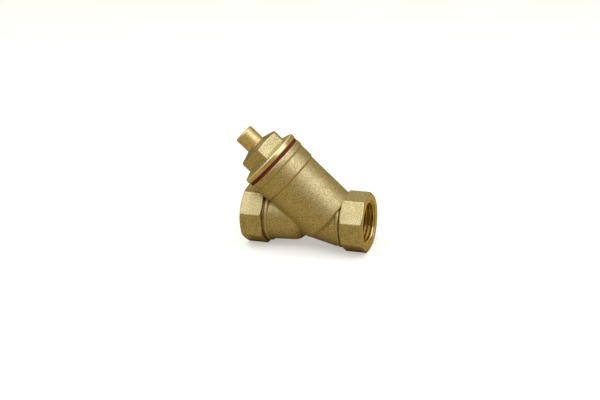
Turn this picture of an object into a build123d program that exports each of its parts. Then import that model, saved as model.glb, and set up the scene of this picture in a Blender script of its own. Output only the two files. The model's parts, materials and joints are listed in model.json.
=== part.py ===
from build123d import *
import math
import os

# A DN15 brass Y strainer with octagonal G 1/2 female ends.
# Millimetres. The origin is the centre of the inlet port's face, +X points out of the inlet along
# the pipe axis, +Z is up, and the screen branch leans up and back over the outlet, towards -X.

# How far a cutting or joining shape runs on past the surface it meets
OVERLAP = 1.0

# Pipe run: distances are measured from the inlet's face
FACE_TO_FACE = 61.0
OCTAGON_FLATS = 27.0
OCTAGON_LENGTH = 11.0
OCTAGON_CHAMFER = 1.3
OCTAGON_CHAMFER_LENGTH = 0.6
OCTAGON_TURN = 22.5
BEAD_START = 11.7
BEAD_WIDTH = 2.0
BEAD_RADIUS = 12.9
BEAD_ROUNDING = 0.75
GROOVE_RADIUS = 12.0
NECK_BEAD_RADIUS = 12.5
NECK_BEAD_LENGTH = 2.0
NECK_OVERLAP = 0.3
WAIST_FROM_INLET = 31.7
WAIST_RADIUS = 8.9
TUBE_BEAD_RADIUS = 12.1
TUBE_RADIUS = 11.5
TUBE_ROUNDING_START = 36.6
PASSAGE_RADIUS = 7.5
INLET_POCKET_RADIUS = 7.9
CAVITY_OVERLAP = 0.5

# Port threads, G 1/2: 14 turns per inch, parallel, Whitworth form
PORT_PITCH = 1.814
PORT_MAJOR_RADIUS = 20.955 / 2
PORT_MINOR_RADIUS = 18.631 / 2
PORT_CREST_RADIUS = 18.95 / 2
PORT_THREAD_DEPTH = 11.0
PORT_RUNOUT_LENGTH = 2.0
PORT_MOUTH_RADIUS = 10.65
PORT_MOUTH_DEPTH = 1.0
PORT_MOUTH_CHAMFER = 0.3
PORT_GROOVE_HALF_WIDTH = 0.70
PORT_ROOT_HALF_WIDTH = 0.14
PORT_GROOVE_OVERCUT = 0.2
DRILL_POINT_ANGLE = 31.0

# Branch: distances are measured along its axis from the point where it meets the pipe axis
BRANCH_FROM_INLET = 18.1
BRANCH_ANGLE = 45.0
BARREL_START = 2.1
BARREL_RADIUS = 14.4
BARREL_END_ROUNDING = 1.5
SHOULDER_START = 28.4
SHOULDER_RADIUS = 15.0
COLLAR_START = 35.6
COLLAR_RADIUS = 15.4
COLLAR_TOP = 39.0
STEP_ROUNDING = 0.5
CHAMBER_FLOOR = 6.0
CHAMBER_RADIUS = 12.0
SEAT_FLOOR = 5.0
SEAT_RADIUS = 9.65

# Cap thread, M27 x 1.5
CAP_PITCH = 1.5
CAP_FEMALE_MINOR_RADIUS = 12.69
CAP_FEMALE_MAJOR_RADIUS = 13.58
CAP_MALE_MAJOR_RADIUS = 13.42
CAP_MALE_MINOR_RADIUS = 12.58
CAP_FLANK_CLEARANCE = 0.06
CAP_THREAD_END = 31.2
CAP_RELIEF_START = 37.7
CAP_RELIEF_RADIUS = 12.45
CAP_RELIEF_TAPER = 0.5
CAP_END_RADIUS = 12.48
CAP_END_TAPER = 0.9
CAP_GROOVE_OVERCUT = 0.05
SPIGOT_OVERLAP = 0.1
SOCKET_FLOOR = 29.3
SOCKET_THREAD_START = 30.3
SOCKET_MOUTH_RADIUS = 13.75
SOCKET_MOUTH_DEPTH = 1.1
THREAD_RUN_OUT = 0.7
SOCKET_GROOVE_OVERCUT = 0.15

# Gasket and cap outside
GASKET_THICKNESS = 1.5
GASKET_RADIUS = 15.1
GASKET_BORE_RADIUS = 13.72
FLANGE_RADIUS = 15.5
FLANGE_THICKNESS = 2.4
FLANGE_CHAMFER = 0.35
FLANGE_CONE_HEIGHT = 1.6
HEX_FLATS = 21.0
HEX_ROOT_RADIUS = 10.5
HEX_TURN = -2.0
CROWN_RADIUS = 12.4
CROWN_START = 49.0
CROWN_TOP = 51.4
BOSS_RADIUS = 4.9
BOSS_TOP = 59.4
BOSS_CHAMFER = 0.5
CAP_RECESS_FLOOR = 33.5
STUD_HOLE_TOP = 54.5

# Screen basket
SCREEN_BOTTOM = SEAT_FLOOR
SCREEN_TOP = CAP_RECESS_FLOOR
SHEET_INNER_RADIUS = 8.6
SHEET_OUTER_RADIUS = 9.0
MESH_OUTER_RADIUS = 9.3
RING_OUTER_RADIUS = 9.6
RING_LIP_RADIUS = 8.3
RING_LENGTH = 2.5
RING_LIP_THICKNESS = 0.4
HOLE_RADIUS = 0.85
HOLES_PER_ROW = 18
HOLE_ROW_SPACING = 2.45
HOLE_TOOL_LENGTH = 3.0

# Magnet rod
STUD_RADIUS = 2.0
STUD_BOTTOM = 7.5
STUD_CHAMFER = 0.4
MAGNET_RADIUS = 4.2
MAGNET_LENGTH = 3.6
MAGNET_CHAMFER = 0.2
POLE_RADIUS = 4.4
POLE_THICKNESS = 0.8
MAGNET_COUNT = 4
NUT_FLATS = 7.0
NUT_HEIGHT = 3.0
NUT_CHAMFER = 0.35
SPRING_WASHER_RADIUS = 3.8
SPRING_WASHER_THICKNESS = 0.9
SPRING_WASHER_GAP = 0.7

GASKET_TOP = COLLAR_TOP + GASKET_THICKNESS
FLANGE_TOP = GASKET_TOP + FLANGE_THICKNESS
HEX_BOTTOM = FLANGE_TOP + FLANGE_CONE_HEIGHT
LEAN = math.radians(BRANCH_ANGLE)

# Local Z runs up the branch, local X points up and towards the inlet
BRANCH = Plane(
    origin=(-BRANCH_FROM_INLET, 0, 0),
    x_dir=(math.cos(LEAN), 0, math.sin(LEAN)),
    z_dir=(-math.sin(LEAN), 0, math.cos(LEAN)),
)
# Local Z runs into each port from its face
INLET = Plane(origin=(0, 0, 0), x_dir=(0, 1, 0), z_dir=(-1, 0, 0))
OUTLET = Plane(origin=(-FACE_TO_FACE, 0, 0), x_dir=(0, 1, 0), z_dir=(1, 0, 0))


def disc(radius, low, high):
    """A cylinder about local Z between two heights."""
    return Pos(0, 0, low) * Cylinder(
        radius, high - low, align=(Align.CENTER, Align.CENTER, Align.MIN)
    )


def ring(outer, inner, low, high):
    return disc(outer, low, high) - disc(inner, low - OVERLAP, high + OVERLAP)


def turned(points):
    """A solid of revolution about local Z from (radius, height) corners."""
    outline = Polyline([(r, 0, z) for r, z in points], close=True)
    return revolve(make_face(outline), Axis.Z)


def prism(flats, sides, low, high, turn):
    """A regular prism about local Z, stated by its width across flats."""
    sketch = RegularPolygon(flats / 2, sides, major_radius=False, rotation=turn)
    return Pos(0, 0, low) * extrude(sketch, high - low)


def corner_radius(flats, sides):
    """A regular polygon's radius to its corners, from its width across flats."""
    return flats / 2 / math.cos(math.pi / sides)


def thread_groove(start, end, pitch, helix_radius, profile):
    """The helical space that a thread's groove takes.

    profile gives (radial distance from the helix radius, axial half-width) at the groove's
    near and far side.
    """
    helix = Helix(pitch, end - start, helix_radius, center=(0, 0, start))
    across = Plane(helix @ 0, x_dir=(1, 0, 0), z_dir=helix % 0)
    (near, near_half), (far, far_half) = profile
    with BuildSketch(across) as section:
        Polygon(
            (near, -near_half), (far, -far_half), (far, far_half), (near, near_half), align=None
        )
    return sweep(section.sketch, path=helix, is_frenet=True)


def bead(low):
    """The rounded turned bead next to an octagon, from its groove to the neck."""
    band = disc(BEAD_RADIUS, low, low + BEAD_WIDTH)
    return fillet(band.edges().filter_by(GeomType.CIRCLE), BEAD_ROUNDING)


def port_end():
    """Octagon, groove and bead of one end, from its face inwards."""
    octagon = prism(OCTAGON_FLATS, 8, 0, OCTAGON_LENGTH, OCTAGON_TURN)
    corner = corner_radius(OCTAGON_FLATS, 8)
    octagon &= turned(
        [
            (0, 0),
            (corner - OCTAGON_CHAMFER, 0),
            (corner, OCTAGON_CHAMFER_LENGTH),
            (corner, OCTAGON_LENGTH - OCTAGON_CHAMFER_LENGTH),
            (corner - OCTAGON_CHAMFER, OCTAGON_LENGTH),
            (0, OCTAGON_LENGTH),
        ]
    )
    groove = disc(GROOVE_RADIUS, OCTAGON_LENGTH - OVERLAP, BEAD_START + BEAD_WIDTH)
    return octagon + groove + bead(BEAD_START)


def neck():
    """The inlet side's taper from the bead to the waist, about local Z from the inlet's face."""
    start = BEAD_START + BEAD_WIDTH - NECK_OVERLAP
    shoulder = start + NECK_BEAD_LENGTH
    return turned(
        [
            (0, start),
            (NECK_BEAD_RADIUS, start),
            (NECK_BEAD_RADIUS, shoulder),
            (WAIST_RADIUS, WAIST_FROM_INLET),
            (0, WAIST_FROM_INLET),
        ]
    )


def outlet_tube():
    """The outlet side's tube, which rounds in to the waist, about local Z from the inlet's face."""
    end = FACE_TO_FACE - BEAD_START - BEAD_WIDTH + NECK_OVERLAP
    waist = (WAIST_RADIUS, 0, WAIST_FROM_INLET)
    rounding = (TUBE_RADIUS, 0, TUBE_ROUNDING_START)
    side = Polyline(rounding, (TUBE_BEAD_RADIUS, 0, end), (0, 0, end), (0, 0, WAIST_FROM_INLET), waist)
    return revolve(make_face(side + TangentArc(rounding, waist, tangent=(0, 0, -1))), Axis.Z)


def run_outside():
    """Everything along the pipe axis."""
    return INLET * port_end() + OUTLET * port_end() + INLET * neck() + INLET * outlet_tube()


def barrel_outside():
    barrel = disc(BARREL_RADIUS, BARREL_START, COLLAR_TOP)
    barrel = fillet(barrel.edges().group_by(Axis.Z)[0], BARREL_END_ROUNDING)
    shoulder = disc(SHOULDER_RADIUS, SHOULDER_START, COLLAR_TOP)
    shoulder = chamfer(shoulder.edges().group_by(Axis.Z)[0], STEP_ROUNDING)
    collar = disc(COLLAR_RADIUS, COLLAR_START, COLLAR_TOP)
    collar = chamfer(collar.edges().filter_by(GeomType.CIRCLE), STEP_ROUNDING)
    return BRANCH * (barrel + shoulder + collar)


def port_bore():
    """Mouth recess, thread, run-out and passage mouth of one port."""
    thread_end = PORT_THREAD_DEPTH
    bottom = thread_end + PORT_RUNOUT_LENGTH
    bore = turned(
        [
            (0, -OVERLAP),
            (PORT_MOUTH_RADIUS + PORT_MOUTH_CHAMFER + OVERLAP, -OVERLAP),
            (PORT_MOUTH_RADIUS, PORT_MOUTH_CHAMFER),
            (PORT_MOUTH_RADIUS, PORT_MOUTH_DEPTH),
            (PORT_CREST_RADIUS, PORT_MOUTH_DEPTH),
            (PORT_CREST_RADIUS, thread_end),
            (PORT_MINOR_RADIUS, thread_end),
            (PORT_MINOR_RADIUS, bottom),
            (0, bottom + PORT_MINOR_RADIUS * math.tan(math.radians(DRILL_POINT_ANGLE))),
        ]
    )
    groove = thread_groove(
        PORT_MOUTH_DEPTH - THREAD_RUN_OUT,
        thread_end - PORT_GROOVE_HALF_WIDTH,
        PORT_PITCH,
        PORT_CREST_RADIUS,
        [
            (-PORT_GROOVE_OVERCUT, PORT_GROOVE_HALF_WIDTH),
            (PORT_MAJOR_RADIUS - PORT_CREST_RADIUS, PORT_ROOT_HALF_WIDTH),
        ],
    )
    return bore, groove


def cavities():
    """The inlet passage, the screen seat and chamber, and the outlet passage, as separate tools."""
    port_bottom = PORT_THREAD_DEPTH + PORT_RUNOUT_LENGTH
    outlet_reach = FACE_TO_FACE - BRANCH_FROM_INLET
    outlet = OUTLET * disc(PASSAGE_RADIUS, port_bottom, outlet_reach)
    above_floor = BRANCH * disc(FACE_TO_FACE, CHAMBER_FLOOR, FACE_TO_FACE)
    return [
        INLET * disc(PASSAGE_RADIUS, port_bottom, BRANCH_FROM_INLET),
        BRANCH * Sphere(INLET_POCKET_RADIUS),
        BRANCH * disc(PASSAGE_RADIUS, 0, SEAT_FLOOR + CAVITY_OVERLAP),
        BRANCH * disc(SEAT_RADIUS, SEAT_FLOOR, CHAMBER_FLOOR + CAVITY_OVERLAP),
        BRANCH * disc(CHAMBER_RADIUS, CHAMBER_FLOOR, COLLAR_TOP),
        outlet & above_floor,
    ]


def cap_socket():
    """The threaded mouth of the branch, with a plain recess at the top."""
    mouth = COLLAR_TOP - SOCKET_MOUTH_DEPTH
    bore = disc(CAP_FEMALE_MINOR_RADIUS, SOCKET_FLOOR, COLLAR_TOP + OVERLAP)
    bore += disc(SOCKET_MOUTH_RADIUS, mouth, COLLAR_TOP + OVERLAP)
    groove = thread_groove(
        SOCKET_THREAD_START,
        mouth + THREAD_RUN_OUT,
        CAP_PITCH,
        CAP_FEMALE_MINOR_RADIUS,
        [
            (
                -SOCKET_GROOVE_OVERCUT,
                female_half_width(CAP_FEMALE_MINOR_RADIUS - SOCKET_GROOVE_OVERCUT),
            ),
            (
                CAP_FEMALE_MAJOR_RADIUS - CAP_FEMALE_MINOR_RADIUS,
                female_half_width(CAP_FEMALE_MAJOR_RADIUS),
            ),
        ],
    )
    return bore, groove


def female_half_width(radius):
    """Axial half-width of the body's 60 degree thread groove at a radius."""
    return CAP_PITCH * 3 / 8 - (radius - CAP_FEMALE_MINOR_RADIUS) * math.tan(math.radians(30))


def male_groove_half_width(radius):
    """Axial half-width of the cap's thread groove, which leaves its ridge the flank clearance."""
    return CAP_PITCH / 2 - female_half_width(radius) + CAP_FLANK_CLEARANCE


def body():
    solid = run_outside() + barrel_outside()
    bore, groove = port_bore()
    mouth, mouth_groove = cap_socket()
    tools = cavities()
    tools += [INLET * bore, OUTLET * bore, BRANCH * mouth]
    tools += [INLET * groove, OUTLET * groove, BRANCH * mouth_groove]
    for tool in tools:
        solid -= tool
    return solid


def cap_outside():
    """Flange, hexagon with a coned crown, and the round boss that closes over the magnet stud."""
    around = corner_radius(HEX_FLATS, 6) + OVERLAP
    flange = turned(
        [
            (0, GASKET_TOP),
            (FLANGE_RADIUS - FLANGE_CHAMFER, GASKET_TOP),
            (FLANGE_RADIUS, GASKET_TOP + FLANGE_CHAMFER),
            (FLANGE_RADIUS, FLANGE_TOP - FLANGE_CHAMFER),
            (FLANGE_RADIUS - FLANGE_CHAMFER, FLANGE_TOP),
            (HEX_ROOT_RADIUS, HEX_BOTTOM),
            (0, HEX_BOTTOM),
        ]
    )
    hexagon = prism(HEX_FLATS, 6, FLANGE_TOP, CROWN_TOP, HEX_TURN)
    hexagon &= turned(
        [
            (0, FLANGE_TOP),
            (around, FLANGE_TOP),
            (around, CROWN_START),
            (CROWN_RADIUS, CROWN_START),
            (BOSS_RADIUS, CROWN_TOP),
            (0, CROWN_TOP),
        ]
    )
    boss = disc(BOSS_RADIUS, CROWN_START, BOSS_TOP)
    boss = chamfer(boss.edges().group_by(Axis.Z)[-1], BOSS_CHAMFER)
    return flange + hexagon + boss


def cap():
    spigot = turned(
        [
            (0, CAP_THREAD_END),
            (CAP_END_RADIUS, CAP_THREAD_END),
            (CAP_MALE_MAJOR_RADIUS, CAP_THREAD_END + CAP_END_TAPER),
            (CAP_MALE_MAJOR_RADIUS, CAP_RELIEF_START),
            (CAP_RELIEF_RADIUS, CAP_RELIEF_START + CAP_RELIEF_TAPER),
            (CAP_RELIEF_RADIUS, GASKET_TOP + SPIGOT_OVERLAP),
            (0, GASKET_TOP + SPIGOT_OVERLAP),
        ]
    )
    outer = CAP_MALE_MAJOR_RADIUS + CAP_GROOVE_OVERCUT
    groove = thread_groove(
        CAP_THREAD_END - CAP_PITCH - phase_shift(),
        CAP_RELIEF_START + CAP_PITCH,
        CAP_PITCH,
        CAP_MALE_MINOR_RADIUS,
        [
            (0, male_groove_half_width(CAP_MALE_MINOR_RADIUS)),
            (outer - CAP_MALE_MINOR_RADIUS, male_groove_half_width(outer)),
        ],
    )
    solid = cap_outside() + (spigot - groove)
    solid -= disc(SEAT_RADIUS, CAP_THREAD_END - OVERLAP, CAP_RECESS_FLOOR)
    solid -= disc(STUD_RADIUS, CAP_RECESS_FLOOR - OVERLAP, STUD_HOLE_TOP)
    return BRANCH * solid


def phase_shift():
    """How far the cap's groove starts below a point half a pitch off the body's groove."""
    wanted = SOCKET_THREAD_START + CAP_PITCH / 2
    turns_off = (CAP_THREAD_END - CAP_PITCH - wanted) / CAP_PITCH
    return (turns_off - math.floor(turns_off)) * CAP_PITCH


def cap_gasket():
    return BRANCH * ring(GASKET_RADIUS, GASKET_BORE_RADIUS, COLLAR_TOP, GASKET_TOP)


def screen_ring(bottom):
    """A pressed end ring, an L in section, that holds the sheet and the mesh together."""
    low = SCREEN_BOTTOM
    wall = ring(RING_OUTER_RADIUS, MESH_OUTER_RADIUS, low, low + RING_LENGTH)
    lip = ring(RING_OUTER_RADIUS, RING_LIP_RADIUS, low, low + RING_LIP_THICKNESS)
    part = wall + lip
    if not bottom:
        part = Pos(0, 0, SCREEN_TOP + SCREEN_BOTTOM) * Rot(180, 0, 0) * part
    return BRANCH * part


def screen_sheet():
    """The perforated stainless tube, its holes in staggered rows between the end rings."""
    low = SCREEN_BOTTOM + RING_LIP_THICKNESS
    high = SCREEN_TOP - RING_LIP_THICKNESS
    tube = ring(SHEET_OUTER_RADIUS, SHEET_INNER_RADIUS, low, high)
    open_length = SCREEN_TOP - SCREEN_BOTTOM - 2 * RING_LENGTH - 2 * HOLE_RADIUS
    rows = int(open_length / HOLE_ROW_SPACING) + 1
    first = (SCREEN_BOTTOM + SCREEN_TOP - (rows - 1) * HOLE_ROW_SPACING) / 2
    pin = Cylinder(HOLE_RADIUS, HOLE_TOOL_LENGTH, rotation=(0, 90, 0))
    pins = []
    for row in range(rows):
        for number in range(HOLES_PER_ROW):
            turn = 360 / HOLES_PER_ROW * (number + 0.5 * (row % 2))
            at_wall = Pos(SHEET_OUTER_RADIUS, 0, first + row * HOLE_ROW_SPACING)
            pins.append(Rot(0, 0, turn) * at_wall * pin)
    return BRANCH * (tube - pins)


def screen_mesh():
    """The woven wire sleeve round the perforated tube, as a closed tube of its own thickness."""
    low = SCREEN_BOTTOM + RING_LIP_THICKNESS
    high = SCREEN_TOP - RING_LIP_THICKNESS
    return BRANCH * ring(MESH_OUTER_RADIUS, SHEET_OUTER_RADIUS, low, high)


def hex_nut(low):
    corner = corner_radius(NUT_FLATS, 6)
    nut = prism(NUT_FLATS, 6, low, low + NUT_HEIGHT, 0)
    nut &= turned(
        [
            (0, low),
            (NUT_FLATS / 2, low),
            (corner, low + NUT_CHAMFER),
            (corner, low + NUT_HEIGHT - NUT_CHAMFER),
            (NUT_FLATS / 2, low + NUT_HEIGHT),
            (0, low + NUT_HEIGHT),
        ]
    )
    return BRANCH * (nut - disc(STUD_RADIUS, low - OVERLAP, low + NUT_HEIGHT + OVERLAP))


def magnet_rod():
    """The stud in the cap's boss and everything threaded on it, from the cap downwards."""
    pieces = {}
    stud = disc(STUD_RADIUS, STUD_BOTTOM, STUD_HOLE_TOP)
    stud = chamfer(stud.edges().group_by(Axis.Z)[0], STUD_CHAMFER)
    pieces["magnet_stud"] = BRANCH * stud
    level = CAP_RECESS_FLOOR - NUT_HEIGHT
    pieces["stud_lock_nut"] = hex_nut(level)
    washer = ring(SPRING_WASHER_RADIUS, STUD_RADIUS, level - SPRING_WASHER_THICKNESS, level)
    slot = Box(SPRING_WASHER_RADIUS * 2, SPRING_WASHER_GAP, SPRING_WASHER_RADIUS)
    washer -= Pos(SPRING_WASHER_RADIUS + STUD_RADIUS / 2, 0, level) * slot
    pieces["spring_washer"] = BRANCH * washer
    level -= SPRING_WASHER_THICKNESS
    for number in range(1, MAGNET_COUNT + 2):
        pole = ring(POLE_RADIUS, STUD_RADIUS, level - POLE_THICKNESS, level)
        pieces[f"pole_washer_{number}"] = BRANCH * pole
        level -= POLE_THICKNESS
        if number <= MAGNET_COUNT:
            magnet = ring(MAGNET_RADIUS, STUD_RADIUS, level - MAGNET_LENGTH, level)
            magnet = chamfer(magnet.edges().filter_by(GeomType.CIRCLE), MAGNET_CHAMFER)
            pieces[f"ring_magnet_{number}"] = BRANCH * magnet
            level -= MAGNET_LENGTH
    pieces["stud_end_nut"] = hex_nut(level - NUT_HEIGHT)
    return pieces


def strainer():
    pieces = {
        "body": body(),
        "cap": cap(),
        "cap_gasket": cap_gasket(),
        "screen_sheet": screen_sheet(),
        "screen_mesh": screen_mesh(),
        "screen_bottom_ring": screen_ring(bottom=True),
        "screen_top_ring": screen_ring(bottom=False),
    }
    pieces.update(magnet_rod())
    return pieces


os.makedirs("parts", exist_ok=True)
for name, piece in strainer().items():
    piece.label = name
    export_step(piece, f"parts/{name}.step")
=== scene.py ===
"""Looks for the brass Y strainer: blasted and turned brass, fibre gasket, woven screen, studio.

Lengths are in millimetres where a name says so or where MM scales them, and in metres elsewhere.
The pipe runs along -X from the inlet's face, and the branch leans up at 45 degrees towards -X.
"""

import json
import math

import bpy
from mathutils import Matrix, Vector

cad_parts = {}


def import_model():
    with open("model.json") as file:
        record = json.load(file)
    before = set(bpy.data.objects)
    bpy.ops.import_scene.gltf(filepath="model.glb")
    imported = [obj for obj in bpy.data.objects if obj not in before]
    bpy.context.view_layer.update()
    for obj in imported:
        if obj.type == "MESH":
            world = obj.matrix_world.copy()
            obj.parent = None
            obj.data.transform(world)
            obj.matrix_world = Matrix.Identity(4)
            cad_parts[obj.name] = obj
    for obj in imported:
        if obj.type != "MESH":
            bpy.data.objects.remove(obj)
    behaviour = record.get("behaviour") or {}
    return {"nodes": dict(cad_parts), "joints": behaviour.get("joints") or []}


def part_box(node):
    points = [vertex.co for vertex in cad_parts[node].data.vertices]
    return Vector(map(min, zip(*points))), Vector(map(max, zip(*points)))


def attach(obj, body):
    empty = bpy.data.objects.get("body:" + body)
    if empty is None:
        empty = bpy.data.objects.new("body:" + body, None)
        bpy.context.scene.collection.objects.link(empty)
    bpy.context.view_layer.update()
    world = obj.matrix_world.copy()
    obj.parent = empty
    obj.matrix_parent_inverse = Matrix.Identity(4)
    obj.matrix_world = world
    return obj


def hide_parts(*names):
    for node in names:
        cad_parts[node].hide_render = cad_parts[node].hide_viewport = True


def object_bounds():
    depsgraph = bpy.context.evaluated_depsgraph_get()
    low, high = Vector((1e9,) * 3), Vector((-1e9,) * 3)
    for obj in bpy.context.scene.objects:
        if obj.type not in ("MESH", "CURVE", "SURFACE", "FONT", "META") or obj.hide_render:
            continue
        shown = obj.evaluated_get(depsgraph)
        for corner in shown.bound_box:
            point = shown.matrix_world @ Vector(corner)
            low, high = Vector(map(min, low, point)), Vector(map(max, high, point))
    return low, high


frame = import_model()
cad_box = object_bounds()
nodes = frame["nodes"]
joints = {joint["name"]: joint for joint in frame["joints"]}

MM = 0.001

# Branch axis, taken from the cap's hinge
BRANCH_POINT = Vector(joints["cap_turn"]["pos_m"])
BRANCH_AXIS = Vector(joints["cap_turn"]["axis"]).normalized()
BRANCH_TURN = BRANCH_AXIS.to_track_quat("Z", "Y").to_matrix()

# Photograph's camera: degrees, metres, and a lens in mm on a full-frame sensor
CAMERA_AZIMUTH = 21.33
CAMERA_ELEVATION = 27.49
CAMERA_ROLL = 4.80
CAMERA_DISTANCE = 0.588
CAMERA_LENS = 74.3
CAMERA_AIM = Vector((-0.030, 0.0, 0.015))
AIM_RIGHT = -0.00353
AIM_UP = -0.00523
SENSOR_WIDTH = 36
CLIP_START = 0.01


def branch_place(mesh_point):
    """Where a branch point is, as (distance along the branch, distance from its axis), in mm."""
    offset = Vector(mesh_point) - BRANCH_POINT
    along = offset.dot(BRANCH_AXIS)
    out = (offset - BRANCH_AXIS * along).length
    return along / MM, out / MM


# ---------------------------------------------------------------- node tree helpers

# Colour sockets of a Mix node, by index because its number and vector sockets share their names
MIX_AMOUNT = 0
MIX_FIRST = 6
MIX_SECOND = 7
MIX_RESULT = 2

# Rays per shading point for rounded edges and for crevices
SHADING_SAMPLES = 8
# How far a rounded normal leans before a place counts as an edge, as cosines
EDGE_STARTS = 0.995
EDGE_FULL = 0.90
# How open a corner is before it counts as a crevice
CREVICE_STARTS = 0.80
CREVICE_FULL = 0.35
# Painted shade in a step of the barrel: full within the first distance, gone by the second, in mm
STEP_SHADE_FULL_MM = 0.10
STEP_SHADE_GONE_MM = 0.55
STEP_SHADE_STRENGTH = 0.70
# Just outside the collar, so that the painted shade reaches no further than the run's crease with the barrel
STEP_SHADE_RADIUS_MM = (15.45, 15.55)


class Tree:
    """A small writer for one material's node tree."""

    def __init__(self, name):
        self.material = bpy.data.materials.new(name)
        self.material.use_nodes = True
        self.tree = self.material.node_tree
        self.shader = self.tree.nodes["Principled BSDF"]

    def add(self, kind, inputs=None, **settings):
        """A node of a kind, with its settings applied and its inputs set or linked."""
        node = self.tree.nodes.new(kind)
        for key, value in settings.items():
            setattr(node, key, value)
        for key, value in (inputs or {}).items():
            self.put(node.inputs[key], value)
        return node

    def put(self, socket, value):
        """Links a socket to another socket, or sets it to a value."""
        if isinstance(value, bpy.types.NodeSocket):
            self.tree.links.new(value, socket)
        else:
            socket.default_value = value

    def set(self, **values):
        """Puts values in the shader's sockets, named with underscores for spaces."""
        for key, value in values.items():
            self.put(self.shader.inputs[key.replace("_", " ")], value)

    def position(self):
        """Object coordinates in millimetres."""
        place = self.add("ShaderNodeTexCoord").outputs["Object"]
        return self.add("ShaderNodeVectorMath", {0: place, "Scale": 1 / MM}, operation="SCALE").outputs[0]

    def vector_math(self, operation, *values):
        """A vector operation's outputs: numbers are in Value and vectors in Vector."""
        return self.add("ShaderNodeVectorMath", dict(enumerate(values)), operation=operation).outputs

    def math(self, operation, *values, clamp=False):
        inputs = dict(enumerate(values))
        return self.add("ShaderNodeMath", inputs, operation=operation, use_clamp=clamp).outputs[0]

    def noise(self, vector, scale, detail=3.0, roughness=0.55, distortion=0.0):
        values = {"Vector": vector, "Scale": scale, "Detail": detail, "Roughness": roughness,
                  "Distortion": distortion}
        return self.add("ShaderNodeTexNoise", values).outputs["Fac"]

    def rings(self, distance, scale, detail):
        """Noise along one distance, so that its marks ring walls and faces alike."""
        values = {"W": distance, "Scale": scale, "Detail": detail}
        return self.add("ShaderNodeTexNoise", values, noise_dimensions="1D").outputs["Fac"]

    def cells(self, vector, scale):
        """Distance to the nearest of many scattered points: small round dents."""
        values = {"Vector": vector, "Scale": scale, "Randomness": 1.0}
        return self.add("ShaderNodeTexVoronoi", values, feature="F1").outputs["Distance"]

    def ramp(self, value, *stops):
        """A colour for a value, from (place, colour) stops."""
        node = self.add("ShaderNodeValToRGB", {"Fac": value})
        while len(node.color_ramp.elements) < len(stops):
            node.color_ramp.elements.new(0.5)
        for element, (place, colour) in zip(node.color_ramp.elements, stops):
            element.position = place
            element.color = (*colour, 1)
        return node.outputs["Color"]

    def span(self, value, low, high, to_low=0.0, to_high=1.0):
        """A value carried from one range to another, held at the ends."""
        inputs = {"Value": value, "From Min": low, "From Max": high, "To Min": to_low, "To Max": to_high}
        return self.add("ShaderNodeMapRange", inputs).outputs["Result"]

    def mix(self, amount, first, second):
        """The first colour where amount is 0, the second where it is 1."""
        node = self.add("ShaderNodeMix", data_type="RGBA")
        sockets = (node.inputs[MIX_AMOUNT], node.inputs[MIX_FIRST], node.inputs[MIX_SECOND])
        for socket, value in zip(sockets, (amount, first, second)):
            if isinstance(value, tuple) and len(value) == 3:
                value = (*value, 1)
            self.put(socket, value)
        return node.outputs[MIX_RESULT]

    def bump(self, height, distance_mm, normal=None, strength=1.0):
        inputs = {"Height": height, "Distance": distance_mm * MM, "Strength": strength}
        if normal is not None:
            inputs["Normal"] = normal
        return self.add("ShaderNodeBump", inputs).outputs["Normal"]

    def rounded_normal(self, radius_mm):
        """The surface's direction with its edges and creases softened."""
        return self.add("ShaderNodeBevel", {"Radius": radius_mm * MM}, samples=SHADING_SAMPLES).outputs["Normal"]

    def edge(self, rounded):
        """1 on edges and creases, 0 on plain surface."""
        flat = self.add("ShaderNodeNewGeometry").outputs["Normal"]
        same = self.vector_math("DOT_PRODUCT", flat, rounded)["Value"]
        return self.span(same, EDGE_STARTS, EDGE_FULL)

    def crevice(self, distance_mm):
        """1 deep in corners, 0 on open surface."""
        open_sky = self.add("ShaderNodeAmbientOcclusion", {"Distance": distance_mm * MM}, samples=SHADING_SAMPLES)
        return self.span(open_sky.outputs["AO"], CREVICE_STARTS, CREVICE_FULL)

    def axis_place(self, position, axis_point, axis):
        """Distance along an axis and distance from it, in mm."""
        offset = self.vector_math("SUBTRACT", position, axis_point / MM)["Vector"]
        along = self.vector_math("DOT_PRODUCT", offset, axis)["Value"]
        across = self.vector_math("CROSS_PRODUCT", offset, axis)["Vector"]
        return along, self.vector_math("LENGTH", across)["Value"]

    def step_shade(self, position, station):
        """A soft ring of painted shade on the branch, centred on a station along it and ending just outside it.
        """
        along, radius = self.axis_place(position, BRANCH_POINT, BRANCH_AXIS)
        away = self.math("ABSOLUTE", self.math("SUBTRACT", along, station))
        ring = self.span(away, STEP_SHADE_FULL_MM, STEP_SHADE_GONE_MM, STEP_SHADE_STRENGTH, 0.0)
        on_branch = self.span(radius, *STEP_SHADE_RADIUS_MM, 1.0, 0.0)
        return self.math("MULTIPLY", ring, on_branch)

    def edge_highlight(self, rounded, corner):
        """1 on outer edges, 0 on plain surface and in corners: where a highlight is painted."""
        open_edge = self.math("SUBTRACT", 1.0, corner)
        return self.math("MULTIPLY", self.edge(rounded), open_edge, clamp=True)


# ---------------------------------------------------------------- materials

BRASS_BRIGHT = (0.88, 0.82, 0.56)
BRASS_MID = (0.62, 0.535, 0.28)
BRASS_PIT_AND_SHADE = (0.33, 0.245, 0.09)
BRASS_TURNED = (0.84, 0.69, 0.32)
BRASS_TARNISH_AND_SHADE = (0.44, 0.31, 0.12)
BRASS_HIGHLIGHT = (0.96, 0.92, 0.70)
BRASS_SCALE = (0.20, 0.145, 0.055)


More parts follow.
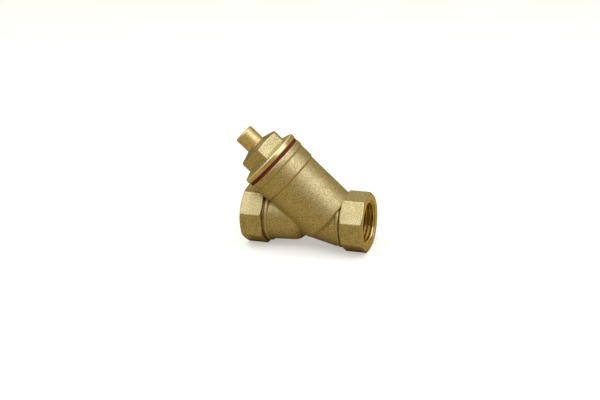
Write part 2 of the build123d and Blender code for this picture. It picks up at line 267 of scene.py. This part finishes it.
def blasted_brass(name, soft_edge_mm, raw=0.0, steps=()):
    """Hot-forged, shot-blasted brass: overlapping small dents, bright crests, browner pits, painted shade in
    corners and a painted highlight on outer edges.

    raw goes from 0, cleanly blasted, to 1, dark forging scale with bright flecks. steps are stations
    along the branch, in mm, where a ring of painted shade darkens a step of the barrel.
    """
    tree = Tree(name)
    place = tree.position()
    dents = tree.cells(place, 2.6)
    fine = tree.noise(place, 7.0, detail=4.0, roughness=0.7)
    grain = tree.noise(place, 2.2, detail=5.0, roughness=0.68)
    patches = tree.noise(place, 0.16, detail=3.0, roughness=0.5, distortion=0.4)

    speckle = tree.ramp(grain, (0.36, BRASS_PIT_AND_SHADE), (0.50, BRASS_MID), (0.67, BRASS_BRIGHT))
    speckle = tree.mix(0.72 * raw, speckle, BRASS_SCALE)
    flecks = tree.noise(place, 2.1, detail=2.0, roughness=0.5)
    speckle = tree.mix(tree.span(flecks, 0.56, 0.68, 0.0, 0.75 * raw), speckle, BRASS_BRIGHT)
    glints = tree.span(fine, 0.60, 0.72, 0.0, 0.55)
    colour = tree.mix(glints, speckle, BRASS_BRIGHT)
    colour = tree.mix(tree.span(patches, 0.38, 0.66, 0.0, 0.22), colour, BRASS_TARNISH_AND_SHADE)
    rounded = tree.rounded_normal(soft_edge_mm)
    corner = tree.crevice(1.6)
    # Painted shade: corners and creases darken towards the pit brown, found by ambient occlusion
    colour = tree.mix(tree.math("MULTIPLY", corner, 0.60), colour, BRASS_PIT_AND_SHADE)
    # Painted shade: a soft dark ring at each step of the barrel
    for station in steps:
        colour = tree.mix(tree.step_shade(place, station), colour, BRASS_TARNISH_AND_SHADE)
    # Painted highlight: outer edges lighten towards the bright brass
    edge_highlight = tree.edge_highlight(rounded, corner)
    colour = tree.mix(tree.math("MULTIPLY", edge_highlight, 0.5), colour, BRASS_BRIGHT)

    rough = tree.math("ADD", tree.span(grain, 0.3, 0.7, 0.50, 0.40),
                      tree.span(patches, 0.3, 0.7, -0.03, 0.05))
    rough = tree.math("SUBTRACT", rough, tree.math("MULTIPLY", edge_highlight, 0.10))
    normal = tree.bump(patches, 0.10, rounded)
    normal = tree.bump(dents, 0.045 + 0.08 * raw, normal)
    normal = tree.bump(fine, 0.035 + 0.05 * raw, normal)
    tree.set(Base_Color=colour, Metallic=1.0, Roughness=rough, Normal=normal)
    return tree.material


def turned_brass(name, axis_point, axis, shine, edge_mm, tarnish_and_shade, base=BRASS_TURNED):
    """Brass left bright from the lathe, with ring marks about the axis, faint tarnish, painted shade in corners
    and a painted highlight on outer edges.
    """
    tree = Tree(name)
    place = tree.position()
    along, radius = tree.axis_place(place, axis_point, axis)
    lathe = tree.math("ADD", along, radius)
    marks = tree.rings(lathe, 9.0, detail=3.0)
    wide_marks = tree.rings(lathe, 2.2, detail=1.0)
    cloud = tree.noise(place, 0.5, detail=4.0, roughness=0.6)
    scratches = tree.noise(place, 9.0, detail=2.0, roughness=0.7)

    colour = tree.mix(tree.span(cloud, 0.40, 0.72, 0.0, tarnish_and_shade), base, BRASS_TARNISH_AND_SHADE)
    colour = tree.mix(tree.span(marks, 0.42, 0.62, 0.0, 0.30), colour, BRASS_BRIGHT)
    rounded = tree.rounded_normal(edge_mm)
    corner = tree.crevice(1.2)
    # Painted shade: corners and creases darken towards the tarnish brown, by as much as the tarnish, found by
    # ambient occlusion
    colour = tree.mix(tree.math("MULTIPLY", corner, tarnish_and_shade), colour, BRASS_TARNISH_AND_SHADE)
    # Painted highlight: outer edges turn cream
    edge_highlight = tree.edge_highlight(rounded, corner)
    colour = tree.mix(tree.math("MULTIPLY", edge_highlight, 0.85), colour, BRASS_HIGHLIGHT)
    rough = tree.math("ADD", tree.span(cloud, 0.3, 0.7, shine - 0.04, shine + 0.10),
                      tree.span(scratches, 0.4, 0.7, 0.0, 0.06))
    normal = tree.bump(wide_marks, 0.030, rounded)
    normal = tree.bump(marks, 0.012, normal)
    tree.set(Base_Color=colour, Metallic=1.0, Roughness=rough, Normal=normal)
    return tree.material


def gasket_fibre():
    """Red vulcanised fibre: matted dark and light fibres with duller clumps."""
    tree = Tree("gasket_fibre")
    place = tree.position()
    stretched = tree.add("ShaderNodeMapping", {"Vector": place, "Scale": (1.0, 0.35, 1.0)}).outputs[0]
    fibres = tree.noise(stretched, 5.0, detail=5.0, roughness=0.75, distortion=1.2)
    clumps = tree.noise(place, 0.7, detail=3.0)
    colour = tree.ramp(fibres, (0.30, (0.055, 0.007, 0.004)), (0.52, (0.16, 0.020, 0.010)),
                       (0.72, (0.30, 0.055, 0.026)))
    colour = tree.mix(tree.span(clumps, 0.4, 0.7, 0.0, 0.35), colour, (0.12, 0.016, 0.012))
    rough = tree.span(fibres, 0.3, 0.7, 0.85, 0.62)
    tree.set(Base_Color=colour, Roughness=rough, Normal=tree.bump(fibres, 0.05))
    tree.shader.inputs["Specular IOR Level"].default_value = 0.35
    return tree.material


STEEL_GRAIN_DEPTH_MM = 0.012
STEEL_EDGE_MM = 0.08


def steel(name, light, dark, rough_low, rough_high, grain_scale, stretch=(1.0, 1.0, 1.0)):
    """Steel with a drawn, rolled or stamped grain and small stains."""
    tree = Tree(name)
    place = tree.position()
    drawn = tree.add("ShaderNodeMapping", {"Vector": place, "Scale": stretch}).outputs[0]
    grain = tree.noise(drawn, grain_scale, detail=5.0, roughness=0.65)
    stains = tree.noise(place, 0.45, detail=4.0, roughness=0.6, distortion=0.5)
    colour = tree.ramp(grain, (0.30, dark), (0.70, light))
    colour = tree.mix(tree.span(stains, 0.50, 0.75, 0.0, 0.35), colour, dark)
    rounded = tree.rounded_normal(STEEL_EDGE_MM)
    edge = tree.edge(rounded)
    colour = tree.mix(tree.math("MULTIPLY", edge, 0.4), colour, light)
    rough = tree.math("ADD", tree.span(grain, 0.3, 0.7, rough_high, rough_low),
                      tree.span(stains, 0.4, 0.7, 0.0, 0.08))
    normal = tree.bump(grain, STEEL_GRAIN_DEPTH_MM, rounded)
    tree.set(Base_Color=colour, Metallic=1.0, Roughness=rough, Normal=normal)
    return tree.material


def ferrite():
    """Pressed and ground ferrite: dark grey ceramic with pale grit and fine pores."""
    tree = Tree("magnet_ferrite")
    place = tree.position()
    grit = tree.noise(place, 8.0, detail=4.0, roughness=0.8)
    pores = tree.cells(place, 4.0)
    colour = tree.ramp(grit, (0.35, (0.020, 0.020, 0.023)), (0.55, (0.050, 0.050, 0.055)),
                       (0.75, (0.12, 0.12, 0.125)))
    rough = tree.span(grit, 0.3, 0.7, 0.62, 0.42)
    normal = tree.bump(tree.span(pores, 0.0, 0.25), 0.015)
    normal = tree.bump(grit, 0.012, normal, strength=0.8)
    tree.set(Base_Color=colour, Roughness=rough, Normal=normal)
    return tree.material


def give(piece, *materials):
    """Puts materials in a piece's slots."""
    piece.data.materials.clear()
    for material in materials:
        piece.data.materials.append(material)


def paint_zones(piece, zone_of, *materials):
    """Gives each face the material that zone_of picks for its centre and direction."""
    give(piece, *materials)
    for polygon in piece.data.polygons:
        polygon.material_index = zone_of(polygon.center, polygon.normal)


# ---------------------------------------------------------------- brass zones

# The body's faces: where the ports, the branch's mouth and its turned faces lie
PORT_REACH_MM = 13.05
PORT_BORE_MM = 10.95
FACE_SKIN_MM = 0.02
SOCKET_FLOOR_MM = 29.2
SOCKET_RADIUS_MM = 13.9
COLLAR_TOP_MM = 38.98
END_FACING = 0.5
LENGTH_MM = (cad_box[1][0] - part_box("body")[0][0]) / MM


def body_zone(centre, direction):
    """0 blasted forging, 1 port face, 2 port thread, 3 branch mouth."""
    from_inlet = -centre.x / MM
    from_end = min(from_inlet, LENGTH_MM - from_inlet)
    from_axis = math.hypot(centre.y, centre.z) / MM
    if from_end < FACE_SKIN_MM and abs(direction.x) > END_FACING:
        return 1
    if from_end < PORT_REACH_MM and from_axis < PORT_BORE_MM:
        return 2
    along, out = branch_place(centre)
    if along > COLLAR_TOP_MM or (along > SOCKET_FLOOR_MM and out < SOCKET_RADIUS_MM):
        return 3
    return 0


# The cap's faces: stations along the branch, how squarely a face looks along it, as cosines,
# and the radius outside which a slanting face is the flange's bevel
FLANGE_TOP_MM = 42.95
CROWN_START_MM = 48.95
BOSS_START_MM = 51.35
CROWN_FACING = 0.8
RIM_FACING = (0.3, 0.95)
RIM_RADIUS_MM = 15.0


def cap_zone(centre, direction):
    """0 blasted hexagon, 1 turned flange and spigot, 2 raw crown, 3 turned boss, 4 flange's bevel, painted cream
    as a highlight.
    """
    along, out = branch_place(centre)
    if along < FLANGE_TOP_MM:
        bevel = RIM_FACING[0] < direction.dot(BRANCH_AXIS) < RIM_FACING[1]
        return 4 if bevel and out > RIM_RADIUS_MM else 1
    if along > BOSS_START_MM:
        return 3
    return 2 if along > CROWN_START_MM and direction.dot(BRANCH_AXIS) > CROWN_FACING else 0


PIPE = (Vector((0, 0, 0)), Vector((1, 0, 0)))
BRANCH = (BRANCH_POINT, BRANCH_AXIS)
# Where the barrel steps out to its shoulder and to its collar
BARREL_STEPS_MM = (28.4, 35.6)
face_brass = turned_brass("port_face_brass", *PIPE, shine=0.34, edge_mm=0.15, tarnish_and_shade=0.35)
thread_brass = turned_brass("port_thread_brass", *PIPE, shine=0.17, edge_mm=0.04, tarnish_and_shade=0.10)
flange_brass = turned_brass("branch_turned_brass", *BRANCH, shine=0.24, edge_mm=0.30, tarnish_and_shade=0.30)
boss_brass = turned_brass("boss_brass", *BRANCH, shine=0.40, edge_mm=0.25, tarnish_and_shade=0.85)
# The flange's bevel is painted cream: a painted highlight
rim_highlight = turned_brass("flange_rim_highlight", *BRANCH, shine=0.55, edge_mm=0.02, tarnish_and_shade=0.0, base=BRASS_HIGHLIGHT)
forged_brass = blasted_brass("forged_brass", soft_edge_mm=0.7, steps=BARREL_STEPS_MM)
cap_brass = blasted_brass("cap_brass", soft_edge_mm=0.35)
crown_brass = blasted_brass("crown_brass", soft_edge_mm=0.2, raw=1.0)
paint_zones(nodes["body"], body_zone, forged_brass, face_brass, thread_brass, flange_brass)
paint_zones(nodes["cap"], cap_zone, cap_brass, flange_brass, crown_brass, boss_brass, rim_highlight)

give(nodes["cap_gasket"], gasket_fibre())
screen_steel = steel("screen_steel", (0.62, 0.61, 0.58), (0.40, 0.39, 0.37), 0.24, 0.40,
                     grain_scale=2.0, stretch=(1.0, 5.0, 1.0))
for name in ("screen_sheet", "screen_bottom_ring", "screen_top_ring"):
    give(nodes[name], screen_steel)
nut_steel = steel("nut_steel", (0.60, 0.59, 0.56), (0.36, 0.35, 0.33), 0.28, 0.45, grain_scale=4.0)
for name in ("stud_lock_nut", "stud_end_nut", "spring_washer"):
    give(nodes[name], nut_steel)
pole_steel = steel("pole_steel", (0.52, 0.52, 0.51), (0.30, 0.30, 0.30), 0.30, 0.48, grain_scale=5.0)
magnet_ferrite = ferrite()
for name, node in nodes.items():
    if name.startswith("pole_washer"):
        give(node, pole_steel)
    if name.startswith("ring_magnet"):
        give(node, magnet_ferrite)


# ---------------------------------------------------------------- built pieces


def mesh_piece(name, points, faces, body, material, replaced):
    """A smooth-shaded mesh of branch points (x, y across the branch, z along it, in mm)."""
    to_world = Matrix.Translation(BRANCH_POINT) @ BRANCH_TURN.to_4x4() @ Matrix.Scale(MM, 4)
    mesh = bpy.data.meshes.new(name)
    mesh.from_pydata([to_world @ Vector(p) for p in points], [], faces)
    mesh.update()
    mesh.polygons.foreach_set("use_smooth", [True] * len(mesh.polygons))
    piece = bpy.data.objects.new(name, mesh)
    bpy.context.scene.collection.objects.link(piece)
    give(piece, material)
    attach(piece, body)
    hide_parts(replaced)


def sweep(points, faces, path, sides, radius, closed):
    """Adds a round wire along a path of (centre, outward, sideways) frames to points and faces."""
    start = len(points)
    for centre, outward, sideways in path:
        for side in range(sides):
            angle = 2 * math.pi * (side + 0.5) / sides
            points.append(centre + (outward * math.cos(angle) + sideways * math.sin(angle)) * radius)
    rings = len(path)
    for ring in range(rings if closed else rings - 1):
        here = start + ring * sides
        there = start + ((ring + 1) % rings) * sides
        for side in range(sides):
            after = (side + 1) % sides
            faces.append((here + side, here + after, there + after, there + side))
    if not closed:
        faces.append(tuple(start + side for side in reversed(range(sides))))
        faces.append(tuple(start + (rings - 1) * sides + side for side in range(sides)))


def node_span(node):
    """A branch node's start and end along the branch, and its outer radius, in mm."""
    places = [branch_place(vertex.co) for vertex in nodes[node].data.vertices]
    return min(p[0] for p in places), max(p[0] for p in places), max(p[1] for p in places)


# Woven sleeve
WIRE_RADIUS_MM = 0.07
WIRE_SPACING_MM = 0.8
STEPS_PER_CROSSING = 4
WIRE_SIDES = 4
# Wire radii from the sleeve's outside to the middle of the weave, a hair over two
WEAVE_DEPTH = 2.1


def woven_sleeve():
    """The screen's woven wire sleeve: rings and lengthwise wires that pass over and under each other."""
    bottom, top, outside = node_span("screen_mesh")
    middle = outside - WEAVE_DEPTH * WIRE_RADIUS_MM
    sway = WIRE_RADIUS_MM
    lengthwise = 2 * round(math.pi * middle / WIRE_SPACING_MM)
    rows = int((top - bottom - 2 * WIRE_RADIUS_MM) / WIRE_SPACING_MM)
    first_row = (bottom + top - (rows - 1) * WIRE_SPACING_MM) / 2
    points = []
    faces = []
    for row in range(rows):
        path = []
        for step in range(lengthwise * STEPS_PER_CROSSING):
            crossing = step / STEPS_PER_CROSSING
            angle = 2 * math.pi * crossing / lengthwise
            outward = Vector((math.cos(angle), math.sin(angle), 0))
            radius = middle + sway * math.cos(math.pi * (crossing + row))
            path.append((outward * radius + Vector((0, 0, first_row + row * WIRE_SPACING_MM)),
                         outward, Vector((0, 0, 1))))
        sweep(points, faces, path, WIRE_SIDES, WIRE_RADIUS_MM, closed=True)
    for wire in range(lengthwise):
        angle = 2 * math.pi * wire / lengthwise
        outward = Vector((math.cos(angle), math.sin(angle), 0))
        sideways = Vector((-math.sin(angle), math.cos(angle), 0))
        path = []
        for step in range((rows - 1) * STEPS_PER_CROSSING + 1):
            crossing = step / STEPS_PER_CROSSING
            radius = middle - sway * math.cos(math.pi * (crossing + wire))
            path.append((outward * radius + Vector((0, 0, first_row + crossing * WIRE_SPACING_MM)),
                         outward, sideways))
        sweep(points, faces, path, WIRE_SIDES, WIRE_RADIUS_MM, closed=False)
    wire_steel = steel("wire_mesh", (0.66, 0.65, 0.62), (0.42, 0.41, 0.39), 0.26, 0.42, grain_scale=6.0)
    mesh_piece("screen_wire_sleeve", points, faces, "screen", wire_steel, "screen_mesh")


# Stud's thread, and where its crest and far flank end within one turn, in pitches
STUD_PITCH_MM = 0.7
STUD_THREAD_DEPTH_MM = 0.38
STUD_STEPS_PER_TURN = 24
CREST_STARTS = 0.35
CREST_ENDS = 0.50
FLANK_ENDS = 0.85


def threaded_stud():
    """The magnet rod's stud with its rolled thread as real turns."""
    bottom, top, outside = node_span("magnet_stud")
    root = outside - STUD_THREAD_DEPTH_MM
    profile = ((0.0, root), (CREST_STARTS, outside), (CREST_ENDS, outside), (FLANK_ENDS, root))
    turns = int((top - bottom) / STUD_PITCH_MM)
    points = []
    faces = []
    steps = turns * STUD_STEPS_PER_TURN
    width = len(profile)
    for step in range(steps + 1):
        angle = 2 * math.pi * step / STUD_STEPS_PER_TURN
        base = bottom + STUD_PITCH_MM * step / STUD_STEPS_PER_TURN
        for rise, radius in profile:
            height = min(max(base + (rise - FLANK_ENDS) * STUD_PITCH_MM, bottom), top)
            points.append(Vector((radius * math.cos(angle), radius * math.sin(angle), height)))
    for step in range(steps):
        here = step * width
        there = here + width
        for k in range(width - 1):
            faces.append((here + k, there + k, there + k + 1, here + k + 1))
        over = (step + STUD_STEPS_PER_TURN) * width
        if over + width < len(points):
            faces.append((here + width - 1, there + width - 1, over + width, over))
    for height, order in ((bottom, -1), (top, 1)):
        start = len(points)
        for k in range(STUD_STEPS_PER_TURN):
            angle = 2 * math.pi * k / STUD_STEPS_PER_TURN
            points.append(Vector((root * math.cos(angle), root * math.sin(angle), height)))
        faces.append(tuple(start + k for k in range(STUD_STEPS_PER_TURN))[::order])
    stud_steel = steel("stud_steel", (0.62, 0.61, 0.59), (0.38, 0.37, 0.36), 0.24, 0.38, grain_scale=3.0)
    mesh_piece("threaded_stud", points, faces, "cap_assembly", stud_steel, "magnet_stud")


woven_sleeve()
threaded_stud()


# ---------------------------------------------------------------- studio


FLOOR_HALF = 6.0
FLOOR_GLOW = 0.42
FLOOR_REFLECTED = (0.42, 0.335, 0.16)


def floor():
    """A plain pale floor under the octagons, nearly white to the camera but dim and warm in reflections."""
    low = cad_box[0][2]
    half = FLOOR_HALF
    mesh = bpy.data.meshes.new("floor")
    corners = [(-half, -half, low), (half, -half, low), (half, half, low), (-half, half, low)]
    mesh.from_pydata(corners, [], [(0, 1, 2, 3)])
    piece = bpy.data.objects.new("floor", mesh)
    bpy.context.scene.collection.objects.link(piece)
    tree = Tree("floor_paper")
    seen = tree.add("ShaderNodeLightPath").outputs["Is Camera Ray"]
    tone = tree.noise(tree.position(), 0.02, detail=2.0)
    colour = tree.ramp(tone, (0.3, (0.80, 0.80, 0.80)), (0.7, (0.82, 0.82, 0.82)))
    colour = tree.mix(seen, FLOOR_REFLECTED, colour)
    glow = tree.math("MULTIPLY", seen, FLOOR_GLOW)
    tree.set(Base_Color=colour, Roughness=0.9, Emission_Color=(0.96, 0.98, 1.0, 1.0), Emission_Strength=glow)
    give(piece, tree.material)


def soft_box(name, centre, width, depth, watts, colour):
    """A rectangular area light above the object, facing straight down."""
    light = bpy.data.lights.new(name, "AREA")
    light.shape = "RECTANGLE"
    light.size = width
    light.size_y = depth
    light.energy = watts
    light.color = colour
    lamp = bpy.data.objects.new(name, light)
    lamp.location = CAMERA_AIM + Vector(centre)
    bpy.context.scene.collection.objects.link(lamp)


def world(fill, strength, backdrop):
    """A dim warm room for the reflections, with a plain pale backdrop behind the floor."""
    sky = bpy.data.worlds.new("studio")
    sky.use_nodes = True
    tree = sky.node_tree
    seen = tree.nodes.new("ShaderNodeLightPath").outputs["Is Camera Ray"]
    shade = tree.nodes.new("ShaderNodeMix")
    shade.data_type = "RGBA"
    tree.links.new(seen, shade.inputs[MIX_AMOUNT])
    shade.inputs[MIX_FIRST].default_value = (*(channel * strength for channel in fill), 1)
    shade.inputs[MIX_SECOND].default_value = (*backdrop, 1)
    tree.links.new(shade.outputs[MIX_RESULT], tree.nodes["Background"].inputs["Color"])
    bpy.context.scene.world = sky


def camera():
    """The photograph's viewpoint, aimed so that the object lands where the photograph has it."""
    azimuth = math.radians(CAMERA_AZIMUTH)
    elevation = math.radians(CAMERA_ELEVATION)
    to_camera = Vector((math.sin(azimuth) * math.cos(elevation),
                        -math.cos(azimuth) * math.cos(elevation), math.sin(elevation)))
    turn = to_camera.to_track_quat("Z", "Y").to_matrix()
    turn = turn @ Matrix.Rotation(-math.radians(CAMERA_ROLL), 3, "Z")
    aim = CAMERA_AIM + turn.col[0] * AIM_RIGHT + turn.col[1] * AIM_UP
    data = bpy.data.cameras.new("camera")
    data.lens = CAMERA_LENS
    data.sensor_width = SENSOR_WIDTH
    data.clip_start = CLIP_START
    viewer = bpy.data.objects.new("camera", data)
    viewer.matrix_world = Matrix.Translation(aim + to_camera * CAMERA_DISTANCE) @ turn.to_4x4()
    bpy.context.scene.collection.objects.link(viewer)
    bpy.context.scene.camera = viewer


floor()
soft_box("overhead", centre=(0.15, -0.09, 0.55), width=1.60, depth=0.72, watts=5.6, colour=(0.94, 1.0, 1.12))
world(fill=(1.0, 0.80, 0.40), strength=0.40, backdrop=(0.97, 0.97, 0.96))
camera()
bpy.context.scene.view_settings.view_transform = "Standard"
